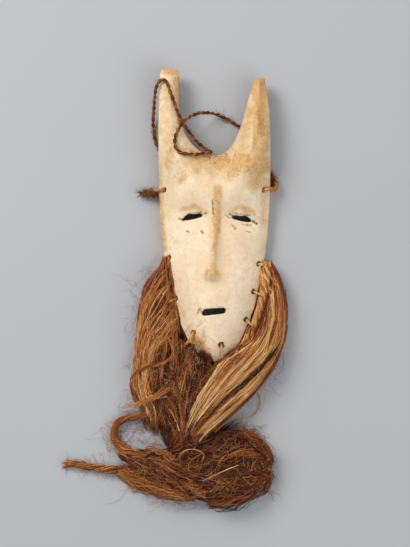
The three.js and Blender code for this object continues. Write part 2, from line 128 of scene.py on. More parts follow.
def even(points, count):
    """The same curve with its points at even distances."""
    run = run_of(points)
    wanted = np.linspace(0, run[-1], count)
    return np.stack([np.interp(wanted, run, column) for column in points.T], 1)


def smoothstep(low, high, value):
    """0 below low and 1 above high, with an easy slope between."""
    t = np.clip((value - low) / (high - low), 0, 1)
    return t * t * (3 - 2 * t)


def unit(vectors):
    """The vectors with a length of 1."""
    return vectors / np.maximum(np.linalg.norm(vectors, axis=-1, keepdims=True), 1e-9)


def vary(low, high, count):
    """A column of random numbers."""
    return RNG.uniform(low, high, (count, 1))


def wander(count, steps, waves=3, spread=1.0):
    """Smooth random walks about zero: one row for each strand."""
    t = np.linspace(0, 1, steps)
    out = np.zeros((count, steps))
    for wave in range(1, waves + 1):
        size = RNG.normal(0, spread / wave, (count, 1))
        phase = vary(0, TAU, count)
        out += size * np.sin(TAU * wave * vary(0.6, 1.2, count) * t + phase)
    return out


LEAN = np.array([0.13, 0.07, 1.0])  # no strand runs along this, so it gives each tube its sides
LOWEST = 0.15 * MM  # of any fibre over the floor


class Fibres:
    """Gathers closed tubes into one mesh, with a tone for each."""

    def __init__(self):
        self.parts = []

    def add(self, paths, radii, tones, sides=3):
        """Tubes round paths[strand, step], with radii and tones of the same shape."""
        paths = np.asarray(paths, float)
        radii = np.broadcast_to(radii, paths.shape[:2])
        tones = np.broadcast_to(tones, paths.shape[:2])
        along = unit(np.gradient(paths, axis=1))
        side = unit(np.cross(along, LEAN))
        up = np.cross(side, along)
        turn = TAU * np.arange(sides) / sides
        ring = np.cos(turn)[:, None] * side[:, :, None] + np.sin(turn)[:, None] * up[:, :, None]
        points = paths[:, :, None] + radii[:, :, None, None] * ring
        index = np.arange(points.size // 3).reshape(points.shape[:3])
        a, c = index[:, :-1], index[:, 1:]
        quads = np.stack([a, np.roll(a, -1, 2), np.roll(c, -1, 2), c], -1).reshape(-1, 4)
        caps = []
        for k in range(1, sides - 1):
            caps.append(index[:, 0][:, [0, k + 1, k]])
            caps.append(index[:, -1][:, [0, k, k + 1]])
        tone = np.repeat(tones[:, :, None], sides, 2)
        self.parts.append((points.reshape(-1, 3), quads, np.vstack(caps), tone.ravel()))

    def piece(self, name, material):
        """The gathered tubes as one object."""
        points, quads, caps, tones = zip(*self.parts)
        starts = np.cumsum([0] + [len(each) for each in points[:-1]])
        quads = np.vstack([faces + start for faces, start in zip(quads, starts)])
        caps = np.vstack([faces + start for faces, start in zip(caps, starts)])
        return mesh_piece(name, np.vstack(points), quads, caps, np.hstack(tones), material)


def mesh_piece(name, points, quads, triangles, tones, material):
    """An object from arrays of points and faces, with a tone on each point."""
    mesh = bpy.data.meshes.new(name)
    points[:, 2] = np.maximum(points[:, 2], LOWEST)
    mesh.from_pydata(points, [], quads.tolist() + triangles.tolist())
    mesh.shade_smooth()
    set_values(mesh, "tone", tones)
    mesh.materials.append(material)
    return placed(name, mesh)


def set_values(mesh, key, values):
    """Gives each point of a mesh a number for its material to read."""
    mesh.attributes.new(key, "FLOAT", "POINT").data.foreach_set("value", values.astype(np.float32))


# Materials
class Shader:
    """Short calls for building a material's nodes."""

    def __init__(self, name, roughness, specular=0.4):
        self.material = bpy.data.materials.new(name)
        self.material.use_nodes = True
        self.nodes = self.material.node_tree.nodes
        self.surface = self.nodes["Principled BSDF"]
        self.surface.inputs["Roughness"].default_value = roughness
        self.surface.inputs["Specular IOR Level"].default_value = specular
        self.place = self.nodes.new("ShaderNodeTexCoord").outputs["Object"]

    def set(self, socket, value):
        """Gives a socket a value, or links another node's output to it."""
        if isinstance(value, bpy.types.NodeSocket):
            self.material.node_tree.links.new(value, socket)
        else:
            socket.default_value = value

    def node(self, kind, inputs, **settings):
        """A new node's outputs, from its inputs and settings."""
        node = self.nodes.new(kind)
        for key, value in settings.items():
            setattr(node, key, value)
        for key, value in inputs.items():
            self.set(node.inputs[key], value)
        return node.outputs

    def attribute(self, name):
        return self.node("ShaderNodeAttribute", {}, attribute_name=name)["Fac"]

    def noise(self, scale, detail=4, rough=0.55, stretch=None):
        place = self.place
        if stretch:
            place = self.node("ShaderNodeMapping", {"Scale": stretch, "Vector": place})["Vector"]
        inputs = {"Scale": scale, "Detail": detail, "Roughness": rough, "Vector": place}
        return self.node("ShaderNodeTexNoise", inputs)["Fac"]

    def math(self, operation, a, b):
        return self.node("ShaderNodeMath", {0: a, 1: b}, operation=operation)[0]

    def around(self, value, spread):
        """A noise moved about zero, spread wide."""
        return self.math("MULTIPLY", self.math("SUBTRACT", value, 0.5), spread)

    def ramp(self, value, colours):
        """A colour ramp through colours at even distances."""
        node = self.nodes.new("ShaderNodeValToRGB")
        elements = node.color_ramp.elements
        while len(elements) < len(colours):
            elements.new(1)
        for k, colour in enumerate(colours):
            elements[k].position = k / (len(colours) - 1)
            elements[k].color = colour
        self.set(node.inputs["Fac"], value)
        return node.outputs["Color"]

    def level(self, value, low, high, most=1.0):
        """The value stretched so that low becomes 0 and high becomes the most."""
        inputs = {"Value": value, "From Min": low, "From Max": high, "To Max": most}
        return self.node("ShaderNodeMapRange", inputs, interpolation_type="SMOOTHSTEP")["Result"]

    def mix(self, share, a, b):
        """The colour a, turned to the colour b by a share."""
        return self.node("ShaderNodeMix", {0: share, 6: a, 7: b}, data_type="RGBA")[2]

    def finish(self, colour, height=None, distance=0.0, strength=0.0):
        """Gives the surface its colour and its bumps, and returns the material."""
        self.set(self.surface.inputs["Base Color"], colour)
        if height:
            inputs = {"Height": height, "Distance": distance, "Strength": strength}
            self.set(self.surface.inputs["Normal"], self.node("ShaderNodeBump", inputs)["Normal"])
        return self.material


def rgb(red, green, blue):
    """An opaque colour in linear light, from its look on a screen, 0 to 255."""
    return (*((c / 255) ** 2.2 for c in (red, green, blue)), 1)


FIBRE_COLOURS = [
    rgb(36, 17, 10), rgb(84, 40, 21), rgb(142, 74, 36), rgb(192, 116, 58), rgb(226, 164, 94),
    rgb(246, 208, 148),
]


def fibre_material(name, roughness=0.5):
    """Dry plant fibre, from dark brown to pale straw by its tone."""
    shader = Shader(name, roughness, 0.35)
    grain = shader.noise(900, 3, 0.6)
    tone = shader.math("ADD", shader.attribute("tone"), shader.around(grain, 0.45))
    return shader.finish(shader.ramp(tone, FIBRE_COLOURS), shader.noise(2600, 2, 0.5), 0.0001, 0.5)


FIBRE = fibre_material("raffia")
TWINE = fibre_material("twine", 0.65)


# The hanging cord: the route of the CAD solid, as listed points
CORD_DIAMETER = 3.6 * MM
CORD_POINTS = [
    (-0.0007, 0.0897, 0.003), (-0.0028, 0.0975, 0.0022), (-0.0086, 0.1111, 0.0022),
    (-0.0161, 0.1254, 0.0022), (-0.0185, 0.1372, 0.003), (-0.0183, 0.147, 0.0066),
    (-0.0175, 0.1566, 0.0126), (-0.0165, 0.1651, 0.0194), (-0.0151, 0.1722, 0.0246),
    (-0.0115, 0.1778, 0.0267), (-0.0072, 0.1769, 0.0284), (-0.0045, 0.1714, 0.0295),
    (-0.0009, 0.1614, 0.0291), (0.0024, 0.1525, 0.0276), (0.0056, 0.1453, 0.0262), (0.0102, 0.1377, 0.0226),
    (0.0174, 0.1284, 0.0166), (0.0258, 0.1209, 0.0121), (0.0298, 0.1182, 0.0139), (0.0313, 0.1171, 0.0194),
    (0.0294, 0.1162, 0.0252), (0.0242, 0.1151, 0.0281), (0.0145, 0.1139, 0.0343), (0.0048, 0.1158, 0.037),
    (0.0012, 0.1209, 0.0361), (0.0008, 0.1271, 0.0347), (0.0028, 0.1332, 0.0326), (0.0058, 0.139, 0.0304),
    (0.0102, 0.144, 0.0283), (0.0162, 0.1483, 0.0246), (0.0243, 0.151, 0.0168), (0.0323, 0.1513, 0.009),
    (0.0403, 0.149, 0.0038), (0.0488, 0.1448, 0.0022), (0.0588, 0.1377, 0.0022), (0.0678, 0.1287, 0.0022),
    (0.0744, 0.1178, 0.0022), (0.0762, 0.1068, 0.0022), (0.0744, 0.0977, 0.0022), (0.0712, 0.0909, 0.003),
]
CORD_STEPS = 430
PLY_PITCH = 11 * MM  # along the cord for one turn of its plies
YARNS = 6  # in each ply
KNOTTED = [338, 342, 346, 350]  # steps of the cord where the fray is thickest
END_STEPS = 6  # along a short loose end


def frame_of(points):
    """Two directions across a curve that runs through points."""
    along = unit(np.gradient(points, axis=0))
    side = unit(np.cross(along, LEAN))
    return side, np.cross(side, along)


def helices(points, radius, pitch, count, phase=0.0):
    """Strands that wind round a curve: an array of count paths."""
    side, up = frame_of(points)
    turns = [TAU * (run_of(points) / pitch + k / count) + phase for k in range(count)]
    return np.stack([points + radius * (np.cos(t)[:, None] * side + np.sin(t)[:, None] * up) for t in turns])


def make_cord():
    """Two plies of yarn twisted round each other, with frayed fibres along them."""
    centre = even(curve(CORD_POINTS, 1200), CORD_STEPS)
    hair = Fibres()
    slack = 0.23 + 0.035 * wander(1, CORD_STEPS, 16)[0, :, None]
    for ply, path in enumerate(helices(centre, slack * CORD_DIAMETER, PLY_PITCH, 2)):
        yarn = helices(path, 0.125 * CORD_DIAMETER, 1.6 * PLY_PITCH, YARNS, ply)
        tones = 0.38 + 0.2 * wander(YARNS, CORD_STEPS, 14, 0.6) + RNG.normal(0, 0.16, (YARNS, 1))
        hair.add(yarn, 0.11 * CORD_DIAMETER * (1 + 0.12 * wander(YARNS, CORD_STEPS, 9)), tones, 4)
    cord = hair.piece("hanging_cord_plies", TWINE)
    fray = Fibres()
    starts = RNG.integers(5, CORD_STEPS - 10, 300)
    fray.add(loose_ends(centre[starts], CORD_DIAMETER * 0.35, 4 * MM), 0.09 * MM, 0.35)
    knotted = np.repeat(centre[KNOTTED], 10, 0)
    fray.add(loose_ends(knotted, CORD_DIAMETER * 0.3, 7 * MM), 0.1 * MM, 0.2)
    frayed = fray.piece("hanging_cord_fray", TWINE)
    for piece in (cord, frayed):
        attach(piece, "root")
    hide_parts("hanging_cord")


def loose_ends(starts, inside, reach):
    """Short fibres that stick out of points in all directions, curling a little."""
    count = len(starts)
    way = unit(RNG.normal(0, 1, (count, 3)))
    bend = unit(RNG.normal(0, 1, (count, 3)))
    t = np.linspace(0, 1, END_STEPS)[None, :, None]
    size = (inside + reach * RNG.uniform(0.2, 1, (count, 1, 1))) * t
    return starts[:, None] + way[:, None] * size + bend[:, None] * size * t * 0.5


make_cord()


# Hair: the height of the solids that it lies on
def joined_tree(nodes):
    """The surfaces of several CAD nodes, for rays to meet."""
    points, faces = [], []
    for node in nodes:
        start = len(points)
        points += [vertex.co for vertex in NODES[node].data.vertices]
        faces += [[start + i for i in face.vertices] for face in NODES[node].data.polygons]
    return BVHTree.FromPolygons(points, faces)


def blurred(grid, cells):
    """A grid of heights smoothed over some cells."""
    reach = np.arange(-3 * cells, 3 * cells + 1)
    kernel = np.exp(-0.5 * (reach / cells) ** 2)
    for axis in (0, 1):
        grid = np.apply_along_axis(np.convolve, axis, grid, kernel / kernel.sum(), "same")
    return grid


class Hills:
    """The height of the solids over the floor, smoothed, to lay hair on."""

    CELL = 1.25 * MM
    MARGIN = 12 * MM
    ABOVE = 0.2  # where its rays start, over everything

    def __init__(self, nodes, cells):
        tree = joined_tree(nodes)
        low, high = (np.array(corner)[:2] for corner in CAD_BOX)
        self.low = low - self.MARGIN
        shape = ((high + self.MARGIN - self.low) / self.CELL).astype(int)
        down = Vector((0, 0, -1))
        heights = np.zeros(shape)
        for i, j in np.ndindex(*shape):
            x, y = self.low + np.array([i, j]) * self.CELL
            hit = tree.ray_cast(Vector((x, y, self.ABOVE)), down)[0]
            heights[i, j] = hit.z if hit else 0
        self.grid = blurred(heights, cells)

    def at(self, x, y):
        """The height at places in the frame."""
        u = np.clip((x - self.low[0]) / self.CELL, 0, self.grid.shape[0] - 1.01)
        v = np.clip((y - self.low[1]) / self.CELL, 0, self.grid.shape[1] - 1.01)
        i, j = u.astype(int), v.astype(int)
        a, b = u - i, v - j
        near = (1 - b) * self.grid[i, j] + b * self.grid[i, j + 1]
        far = (1 - b) * self.grid[i + 1, j] + b * self.grid[i + 1, j + 1]
        return (1 - a) * near + a * far


LOCKS = ["right_beard_lock", "chin_beard_lock", "left_beard_lock", "beard_tangle", "side_loop", "tail_wisp"]
HILLS = Hills(LOCKS + ["mask", "rim_roll"], 1)
SOFT_HILLS = Hills(LOCKS + ["mask"], 4)

LINE_POINTS = 60  # along each line that bounds a sheet of hair
LAID = 0.4  # height of a sheet over the solids, in millimetres
CLUMP_RISE = 1.1  # of a clump's middle over its sides, in millimetres
# Painted shade: the sides of each clump are darkened as if shaded in the gaps between clumps.
PAINTED_SIDE_SHADE = 0.22  # how much darker the sides of a clump are
DIVE_START = 0.78  # share of a sheet's length where it starts to dive
STRAY_STEPS = 15
LEAST_STRAY = 0.3 * MM  # height of a stray fibre over the floor


def line_of(pixels):
    """A smooth line on the floor through pixels of the photograph."""
    return curve(np.stack(photo(*np.array(pixels, float).T), 1), LINE_POINTS)


def sheet(
    hair, left, right, clumps, each, tones, width=0.7, steps=16,
    messy=1.0, ragged=0.1, fade=0.0, lift=0.0, depth=1.6, dive=0.0,
):
    """Hair between two lines of x and y pixels, laid over the solids in clumps, with its sizes in mm."""
    left, right = line_of(left), line_of(right)
    grid = np.linspace(0, 1, LINE_POINTS)
    ease = np.linspace(0, 1, steps)
    middles = (np.arange(clumps) + RNG.uniform(0.1, 0.9, clumps)) / clumps
    shares = 1 / clumps * RNG.uniform(0.5, 1.3, clumps)
    own = RNG.uniform(*tones, clumps)
    sway = wander(clumps, steps, 2, 0.35 * messy / clumps)
    for k in range(clumps):
        across = vary(-1, 1, each)
        begin = 0.12 * ragged * RNG.random((each, 1))
        t = begin + (1 - ragged * RNG.random((each, 1)) ** 2 - begin) * ease
        u = middles[k] + sway[k] + across * shares[k] * 0.8 * (0.75 + 0.5 * RNG.random())
        u = u + 0.12 * messy / clumps * wander(each, steps) * (0.4 + ease)
        a, b = sampled(t, grid, left), sampled(t, grid, right)
        aside = wander(2 * each, steps).reshape(each, steps, 2)
        place = a + (b - a) * u[..., None] + 0.25 * MM * messy * aside
        bulge = CLUMP_RISE * (1 - across**2) - depth * RNG.random((each, 1)) ** 2
        z = HILLS.at(place[..., 0], place[..., 1]) + (lift + LAID + bulge) * MM
        z = z + 0.3 * MM * messy * wander(each, steps) - dive * MM * smoothstep(DIVE_START, 1, t)
        # Painted shade on the sides of each clump, darkest at its edges.
        tone = own[k] + fade * t + RNG.normal(0, 0.13, (each, 1)) - PAINTED_SIDE_SHADE * across**2
        tone = tone + 0.08 * wander(each, steps) + 0.05 * wander(1, steps, 5)
        taper = np.sqrt(np.clip(4 * (1.03 - ease), 0.12, 1))
        size = width / 2 * MM * vary(0.6, 1.25, each) * taper
        hair.add(np.dstack([place, z]), size, tone)


def strays(hair, rows, count, tones, length=30, curl=1.0, width=0.22, lift=1.5, hills=HILLS):
    """Fine curling hair, which start near a line of x, y and half width in pixels."""
    table = curve(rows, 100)[RNG.integers(0, 100, count)]
    x0, y0 = photo(*(table[:, :2] + table[:, 2:] * RNG.uniform(-1, 1, (count, 2))).T)
    ease = np.linspace(0, 1, STRAY_STEPS)
    span = length * MM * vary(0.3, 1.0, count) ** 1.4 / STRAY_STEPS
    heading = vary(0, TAU, count)
    heading = heading + curl * (RNG.normal(0, 2.2, (count, 1)) * ease + wander(count, STRAY_STEPS, 2))
    x = x0[:, None] + np.cumsum(np.cos(heading) * span, 1)
    y = y0[:, None] + np.cumsum(np.sin(heading) * span, 1)
    above = RNG.random((count, 1)) + 0.4 * np.abs(wander(count, STRAY_STEPS, 2))
    z = np.maximum(hills.at(x, y) + lift * MM * above, LEAST_STRAY)
    tone = vary(*tones, count)
    paths = np.dstack([x, y, z])
    kept = within(paths)
    hair.add(paths[kept], width / 2 * MM * (1.1 - 0.5 * ease), tone[kept])


# Hair: locks along guides
class Guide:
    """The line, half width and half height of a lock, from rows of x and y shares, half width and height."""

    LIFT = 0.4 * MM
    DEEPEST = 26 * MM
    COUNT = 200

    def __init__(self, rows):
        sx, sy, wide, deep = np.array(rows).T
        x, y = at(sx, sy)
        half, high = wide * HALF, deep * self.DEEPEST
        table = curve(np.stack([x, y, self.LIFT + high / 2, half, high / 2], 1), self.COUNT)
        way = unit(np.gradient(table[:, :2], axis=0))
        self.table = np.hstack([table, way[:, 1:], -way[:, :1]])
        self.grid = np.linspace(0, 1, self.COUNT)

    def at(self, t, angle, depth):
        """Places on the lock: t along it, at an angle round its middle, and with depth 1 at its skin."""
        x, y, z, half, high, ax, ay = (np.interp(t, self.grid, column) for column in self.table.T)
        out = half * depth * np.cos(angle)
        return np.stack([x + ax * out, y + ay * out, z + high * depth * np.sin(angle)], -1)


def core(hair, guide, shrink, steps=40, sides=14):
    """A body inside a lock, so that no light shows through it, coloured with the darkest tone as painted
    shade in the lock's depths.
    """
    t = np.linspace(0.02, 0.97, steps)
    angles = TAU * np.arange(sides) / sides
    taper = np.clip(np.minimum(t / 0.1, (1 - t) / 0.2), 0.05, 1) ** 0.5
    points = guide.at(t[:, None], angles[None], shrink * taper[:, None])
    index = np.arange(steps * sides).reshape(steps, sides)
    a, c = index[:-1], index[1:]
    quads = np.stack([a, c, np.roll(c, -1, 1), np.roll(a, -1, 1)], -1).reshape(-1, 4)
    caps = [index[0][[0, k, k + 1]] for k in range(1, sides - 1)]
    caps += [index[-1][[0, k + 1, k]] for k in range(1, sides - 1)]
    # Tone 0, the darkest brown: painted shade inside the lock.
    hair.parts.append((points.reshape(-1, 3), quads, np.array(caps), np.zeros(points.size // 3)))


OVERLAP = 0.35  # how far the combed strands reach below a lock's sides, as an angle
SUNK = 0.8  # depth of the combed strands, where 1 is a lock's skin


def comb(hair, guide, clumps, each, tones, width, twist, messy, ragged=0.2, steps=16):
    """Strands that lie along a lock in clumps, so that dark lines show between them: partly real gaps, partly
    painted shade on the sides of each clump.
    """
    middles = np.linspace(-OVERLAP, math.pi + OVERLAP, clumps) + RNG.normal(0, 0.08, clumps)
    middles[RNG.random(clumps) < 0.12] += math.pi
    spans = (math.pi + 2 * OVERLAP) / clumps * RNG.uniform(0.7, 1.25, clumps)
    clump_tones = RNG.uniform(*tones, clumps)
    drift = wander(clumps, steps, 2, messy * 2.5)
    swell = 1 + 0.05 * wander(clumps, steps, 2, 0.8)
    ease = np.linspace(0, 1, steps)
    taper = np.sqrt(np.clip(4.2 * (1.02 - ease), 0.1, 1))
    for k in range(clumps):
        across = vary(-1, 1, each)
        ends = 1 - ragged * RNG.random((each, 1)) ** 2 * RNG.uniform(0.3, 1.4)
        begin = 0.03 * RNG.random((each, 1))
        t = begin + (ends - begin) * ease
        angle = middles[k] + twist * t + drift[k] + across * spans[k] * 0.62 * (1 - 0.3 * ease)
        angle = angle + wander(each, steps, 3, messy * 0.5) * (0.3 + ease)
        bulge = SUNK + 0.13 * (1 - across**2) - 0.1 * RNG.random((each, 1)) ** 2
        depth = bulge * swell[k] + 0.25 * messy * wander(each, steps, 2) * ease
        # Painted shade on the sides of each clump, darkest at its edges.
        tone = clump_tones[k] + RNG.normal(0, 0.07, (each, 1)) - 0.2 * across**2
        tone = tone + 0.05 * wander(each, steps)
        size = width / 2 * MM * vary(0.7, 1.2, each) * taper
        hair.add(guide.at(t, angle, depth), size, tone)


def lock(rows, shrink, *combed, **looks):
    """A lock's core, dark as painted shade, with the strands combed over it, from its stations."""
    guide = Guide(rows)
    hair = Fibres()
    core(hair, guide, shrink)
    comb(hair, guide, *combed, **looks)
    return hair


ROOM = 7 * MM  # how far a stray fibre may leave the CAD model's box


def within(paths):
    """Which paths stay in the room round the CAD model."""
    low, high = (np.array(corner)[:2] for corner in CAD_BOX)
    places = paths[..., :2]
    return ((places > low - ROOM) & (places < high + ROOM)).all(axis=(1, 2))


def lifted(rows):
    """Places in the frame, from rows of x and y pixels and height in mm."""
    x, y, z = np.array(rows, float).T[:3]
    return np.stack([*photo(x, y), z * MM], 1)


def bundle(hair, rows, count, tones, width, twist=2.0, steps=40, messy=0.1, ragged=0.06):
    """A loose strand over the rest, from rows of x and y pixels, height in mm and half width in pixels."""
    halves = [[row[3] * PIXEL] for row in rows]
    strand(hair, np.hstack([lifted(rows), halves]), count, tones, width, twist, steps, messy, ragged)


STRAND_POINTS = 200
HOLLOW = 0.15  # least distance of a fibre from the middle of its strand, squared
FLATNESS = 0.8  # height of a strand as a share of its width


def strand(hair, rows, count, tones, width, twist, steps, messy, ragged=0.06):
    """A loose strand of hair, from rows of x, y, z and half width."""
    table = even(curve(rows, 300), STRAND_POINTS)
    side, up = frame_of(table[:, :3])
    ease = np.linspace(0, 1, steps)
    begin = 0.5 * ragged * RNG.random((count, 1))
    t = begin + (1 - ragged * RNG.random((count, 1)) - begin) * ease
    grid = np.linspace(0, 1, STRAND_POINTS)
    middle, half, sides, ups = (sampled(t, grid, part) for part in (table[:, :3], table[:, 3:], side, up))
    angle = vary(0, TAU, count) + TAU * twist * t + messy * wander(count, steps)
    depth = np.sqrt(vary(HOLLOW, 1, count)) + messy * wander(count, steps, 2)
    off = half[..., 0] * depth
    aside, above = off * np.cos(angle), FLATNESS * off * np.sin(angle)
    paths = middle + aside[..., None] * sides + above[..., None] * ups
    tone = vary(*tones, count) + 0.05 * wander(count, steps)
    hair.add(paths, width / 2 * MM * vary(0.7, 1.2, count), tone)


def sampled(t, grid, columns):
    """Each column of a table, read at the places t."""
    return np.stack([np.interp(t, grid, column) for column in columns.T], -1)


def stand_in(piece, node):
    """Puts a piece on the mask's body in place of a CAD node."""
    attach(piece, "root")
    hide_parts(node)


def finish_piece(hair, name, node):
    stand_in(hair.piece(name, FIBRE), node)


# The locks' stations, as in the CAD model: x share, y share, half width share, height share
LEFT_LOCK = [
    (-0.88, 0.358, 0.04, 0.6), (-0.92, 0.298, 0.12, 0.8), (-0.97, 0.211, 0.23, 0.85),
    (-1.0, 0.124, 0.34, 0.85), (-1.02, 0.038, 0.41, 0.85), (-1.03, -0.049, 0.38, 0.77),
    (-1.04, -0.135, 0.3, 0.65), (-1.01, -0.22, 0.2, 0.5),
]
RIGHT_LOCK = [
    (0.98, 0.34, 0.04, 0.55), (1.06, 0.3, 0.09, 0.7), (1.09, 0.2425, 0.17, 0.8), (1.05, 0.178, 0.22, 0.85),
    (0.96, 0.1, 0.29, 0.92), (0.8, 0.025, 0.38, 1), (0.51, -0.031, 0.46, 1), (0.13, -0.107, 0.46, 1),
    (-0.23, -0.187, 0.4, 0.92), (-0.52, -0.266, 0.34, 0.85), (-0.72, -0.315, 0.26, 0.7),
]
CHIN_LOCK = [
    (-0.36, 0.09, 0.3, 0.38), (-0.45, -0.031, 0.44, 0.6), (-0.54, -0.118, 0.44, 0.6),
    (-0.63, -0.204, 0.38, 0.54), (-0.66, -0.29, 0.3, 0.5),
]
TANGLE = [
    (-1.6, -0.39, 0.15, 0.4), (-1.2, -0.385, 0.36, 0.7), (-0.65, -0.38, 0.5, 0.85),
    (-0.09, -0.37, 0.62, 0.92), (0.4, -0.36, 0.7, 1), (0.74, -0.36, 0.53, 0.9),
    (0.94, -0.365, 0.33, 0.6), (1.02, -0.37, 0.12, 0.35),
]


def make_left_lock():
    """Falls from the left rim, reddish above and golden below, with a stray loop and wisp across it."""
    hair = lock(LEFT_LOCK, 0.74, 20, 10, (0.3, 0.56), 1.1, 0.35, 0.12, ragged=0.3)
    outer = [(167, 256.5), (156.5, 271), (148, 287), (142, 304), (137.5, 326), (135.5, 349), (134.5, 372)]
    inner = [(180, 326), (173, 331), (166, 338), (160, 346), (155, 355), (151, 366), (148, 380)]
    sheet(hair, outer, inner, 22, 21, (0.42, 0.74), 0.64, fade=0.1, ragged=0.25, messy=2.8)
    back = [(158, 270), (150.5, 283), (145, 300), (141, 318)]
    filled = [(164, 272), (157, 287), (151, 303), (147, 320)]
    sheet(hair, back, filled, 5, 18, (0.2, 0.55), 0.8, lift=-1, messy=1.5)
    rim = [(168, 256.5), (168.5, 275), (171, 294), (173.5, 308), (178, 326), (181, 342)]
    wood = [(170, 256.5), (171, 274), (174.5, 294), (177, 307), (182.5, 327), (187, 340)]
    sheet(hair, rim, wood, 5, 13, (0.42, 0.66), 0.6, lift=0.5, messy=1.8, ragged=0.2)
    strip = [(136, 338), (135, 358), (135.5, 378), (138, 396), (141, 412), (144, 430)]
    golden = [(147, 346), (146, 366), (148, 382), (152, 398), (157, 415), (160, 436)]
    sheet(hair, strip, golden, 8, 20, (0.44, 0.84), messy=2.8, ragged=0.4, lift=0.4)
    # A low sheet of dark hair beside the chin lock: its dark tones are partly the hair's own browns and
    # partly painted shade.
    dark = [(156, 345), (151, 365), (147, 385), (146, 400), (150, 415), (152, 430)]
    deep = [(180, 335), (178, 355), (175, 375), (172, 392), (174, 410), (180, 428)]
    sheet(hair, dark, deep, 12, 15, (0.08, 0.52), messy=3, ragged=0.3, lift=-0.6)
    low = [(160, 384), (162, 398), (167, 412), (172, 426), (178, 440)]
    high = [(176, 378), (178, 395), (182, 410), (185, 424), (186, 440)]
    sheet(hair, low, high, 5, 15, (0.3, 0.7), messy=2, ragged=0.3, lift=0.6)
    loop = [
        (161, 333, 18, 1), (168, 338, 22, 1.2), (173.5, 346, 24, 1.3), (172.5, 356, 24, 1.3),
        (160, 363, 24, 1.4), (144, 366, 22, 1.4), (134, 374, 16, 1.4), (131.5, 385, 12, 1.5),
        (134, 396, 7, 1.3), (138, 405, 5, 1.1),
    ]
    bundle(hair, loop, 16, (0.3, 0.7), 0.55, twist=3, messy=0.25, ragged=0.12)
    wisp = [
        (176, 384, 14, 2), (163, 391, 21, 2.2), (149, 398, 22, 2.2), (135, 404, 15, 2), (120, 408.5, 6, 2.6),
    ]
    bundle(hair, wisp, 30, (0.4, 0.95), 0.42, twist=0.7, messy=0.5, ragged=0.5)
    edge = [(150, 270, 8), (141, 300, 5), (137, 350, 6), (140, 400, 8), (150, 428, 9)]
    strays(hair, edge, 110, (0.1, 0.5), 34, 0.8, width=0.17, hills=SOFT_HILLS)
    strays(hair, [(160, 340, 12), (158, 380, 14), (165, 420, 14)], 130, (0.45, 0.95))
    top = [(164, 272, 5), (158, 300, 11), (154, 330, 14)]
    strays(hair, top, 150, (0.45, 0.9), 16, lift=1.2)
    strays(hair, top, 90, (0.15, 0.4), 16, lift=1.2)
    finish_piece(hair, "left_beard_hair", "left_beard_lock")


def make_right_lock():
    """Sweeps from the right rim down to the left in golden clumps, with a gap between its two flows that is
    painted dark as shade.
    """
    hair = lock(RIGHT_LOCK, 0.74, 22, 10, (0.25, 0.5), 1.1, -0.5, 0.09, ragged=0.12, steps=18)
    inner = [
        (264, 322), (258, 337), (246, 347), (233, 353), (221, 361), (211, 374), (203, 387), (194, 402),
        (187, 420), (180, 440),
    ]
    outer = [
        (270, 262), (280, 281), (284, 308), (282, 332), (273, 350), (259, 364), (244, 378), (226, 393),
        (207, 412), (190, 438),
    ]
    sheet(hair, inner, outer, 24, 22, (0.47, 0.84), 0.66, 20, fade=0.26, messy=4.4, ragged=0.2, dive=3)
    upper = [
        (279, 290), (282, 316), (279, 341), (269, 358), (256, 373), (241, 387), (226, 400), (210, 415),
        (197, 430), (185, 448),
    ]
    lower = [
        (283, 292), (285.5, 318), (283, 343), (274, 361), (263, 377), (249, 391), (236, 404), (221, 419),
        (207, 435), (194, 453),
    ]
    sheet(hair, upper, lower, 9, 25, (0.5, 0.82), 0.66, 20, fade=0.2, messy=4.4, ragged=0.26, dive=3)
    # Painted shade: a sheet of dark hair in the crease between the two flows.
    gap = [(274, 346), (260, 362), (245, 377), (226, 393), (206, 414)]
    edge = [(276, 350), (262, 367), (247, 382), (229, 398), (209, 418)]
    sheet(hair, gap, edge, 3, 16, (0.0, 0.36), messy=4, ragged=0.4, lift=0.2)
    # Painted shade: a low sheet of darker hair under the fold.
    fold = [(214, 400), (203, 412), (193, 424), (185, 438), (178, 450)]
    under = [(216, 408), (207, 420), (199, 431), (192, 443), (186, 455)]
    sheet(hair, fold, under, 5, 18, (0.15, 0.5), messy=3, ragged=0.3, lift=-0.8)
    collar = [(250, 324), (244, 338), (236, 350), (226, 358)]
    nape = [(258, 334), (252, 346), (243, 356), (232, 363)]
    sheet(hair, collar, nape, 5, 14, (0.3, 0.7), steps=12, messy=3, ragged=0.2, lift=0.8)
    rim = [(280, 285, 6), (283, 330, 5), (272, 362, 7), (254, 388, 7), (240, 400, 6)]
    strays(hair, rim, 100, (0.2, 0.6), 28, 0.8, width=0.17, hills=SOFT_HILLS)
    strays(hair, [(276, 300, 8), (262, 360, 14), (220, 390, 14)], 150, (0.5, 1.0), 26)
    strays(hair, [(276, 290, 7), (268, 350, 14), (220, 400, 16)], 150, (0.1, 0.45), 22, lift=1.2)
    pale = [
        (254, 385, 9, 0.7), (260, 396, 2, 0.7), (260, 407, 1.5, 0.6), (253, 416, 1.5, 0.5),
        (246, 419, 4, 0.4),
    ]
    bundle(hair, pale, 5, (0.85, 1.0), 0.4, twist=1, messy=0.3)
    finish_piece(hair, "right_beard_hair", "right_beard_lock")


def make_chin_lock():
    """The lock under the chin: its dark tones are partly the hair's own browns and partly painted shade, as
    it lies low between the other locks.
    """
    # Painted shade: the core, the combed strands and the sheet get dark tones for the shade of this low lock.
    hair = lock(CHIN_LOCK, 0.8, 14, 12, (0.05, 0.35), 0.8, 0.3, 0.3)
    left = [(178, 336), (175, 355), (174, 375), (176, 395), (180, 418)]
    right = [(208, 354), (212, 364), (204, 380), (195, 398), (188, 422)]
    sheet(hair, left, right, 14, 16, (0.08, 0.55), messy=4, ragged=0.3)
    strays(hair, [(190, 345, 9), (190, 370, 15), (182, 400, 13)], 220, (0.2, 0.6), 34, 0.9)
    strays(hair, [(188, 350, 10), (192, 372, 14), (180, 405, 13)], 110, (0.6, 1.0), 34, 0.9, lift=2.5)
    finish_piece(hair, "chin_beard_hair", "chin_beard_lock")


